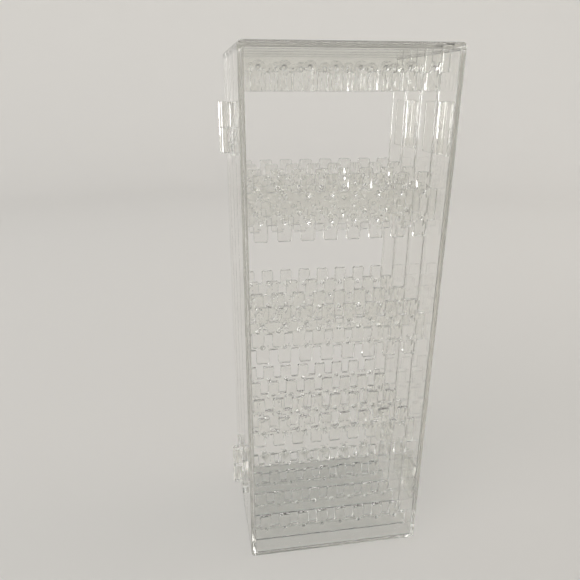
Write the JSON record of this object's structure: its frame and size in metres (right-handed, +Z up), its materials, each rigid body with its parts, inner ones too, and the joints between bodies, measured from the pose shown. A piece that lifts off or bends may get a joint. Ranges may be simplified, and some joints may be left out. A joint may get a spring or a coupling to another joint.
{
  "type": "folding jewellery stand",
  "caption": "Clear plastic earring stand: tall open panels with toothed, drilled bars across them, hinged on alternate sides so they fold into a flat stack.",
  "frame": {"origin": "centre of the closed stack's footprint, hinges left out, on the surface it stands on", "axes": "+X to the viewer's right across a panel, front panel faces -Y, +Z up"},
  "size_m": [0.1212, 0.0926, 0.294],
  "materials": {
    "clear_frame": "clear, polished",
    "clear_bar": "clear, polished, bevelled facets",
    "clear_hinge": "clear, polished",
    "clear_pin": "clear, polished"
  },
  "bodies": {
    "panel_1": {"panel_1_frame": "clear_frame", "panel_1_bottom_bar": "clear_bar", "panel_1_lower_bar": "clear_bar", "panel_1_middle_bar": "clear_bar", "panel_1_upper_bar": "clear_bar", "panel_1_top_bar": "clear_bar", "hinge_1_upper_front_half": "clear_hinge", "hinge_1_lower_front_half": "clear_hinge"},
    "panel_2": {"panel_2_frame": "clear_frame", "panel_2_bottom_bar": "clear_bar", "panel_2_lower_bar": "clear_bar", "panel_2_middle_bar": "clear_bar", "panel_2_upper_bar": "clear_bar", "panel_2_top_bar": "clear_bar", "hinge_1_upper_rear_half": "clear_hinge", "hinge_1_upper_pin": "clear_pin", "hinge_1_lower_rear_half": "clear_hinge", "hinge_1_lower_pin": "clear_pin", "hinge_2_upper_front_half": "clear_hinge", "hinge_2_lower_front_half": "clear_hinge"},
    "panel_3": {"panel_3_frame": "clear_frame", "panel_3_bottom_bar": "clear_bar", "panel_3_lower_bar": "clear_bar", "panel_3_middle_bar": "clear_bar", "panel_3_upper_bar": "clear_bar", "panel_3_top_bar": "clear_bar", "hinge_2_upper_rear_half": "clear_hinge", "hinge_2_upper_pin": "clear_pin", "hinge_2_lower_rear_half": "clear_hinge", "hinge_2_lower_pin": "clear_pin", "hinge_3_upper_front_half": "clear_hinge", "hinge_3_lower_front_half": "clear_hinge"},
    "panel_4": {"panel_4_frame": "clear_frame", "panel_4_bottom_bar": "clear_bar", "panel_4_lower_bar": "clear_bar", "panel_4_middle_bar": "clear_bar", "panel_4_upper_bar": "clear_bar", "panel_4_top_bar": "clear_bar", "hinge_3_upper_rear_half": "clear_hinge", "hinge_3_upper_pin": "clear_pin", "hinge_3_lower_rear_half": "clear_hinge", "hinge_3_lower_pin": "clear_pin"}
  },
  "joints": [
    {"name": "hinge_1_turn", "type": "hinge", "parent": "panel_1", "child": "panel_2", "pos_m": [0.0576, -0.0232, 0.147], "axis": [0, 0, -1], "range_deg": [0, 180]},
    {"name": "hinge_2_turn", "type": "hinge", "parent": "panel_2", "child": "panel_3", "pos_m": [-0.0576, 0, 0.147], "axis": [0, 0, 1], "range_deg": [0, 180]},
    {"name": "hinge_3_turn", "type": "hinge", "parent": "panel_3", "child": "panel_4", "pos_m": [0.0576, 0.0232, 0.147], "axis": [0, 0, -1], "range_deg": [0, 180]}
  ]
}
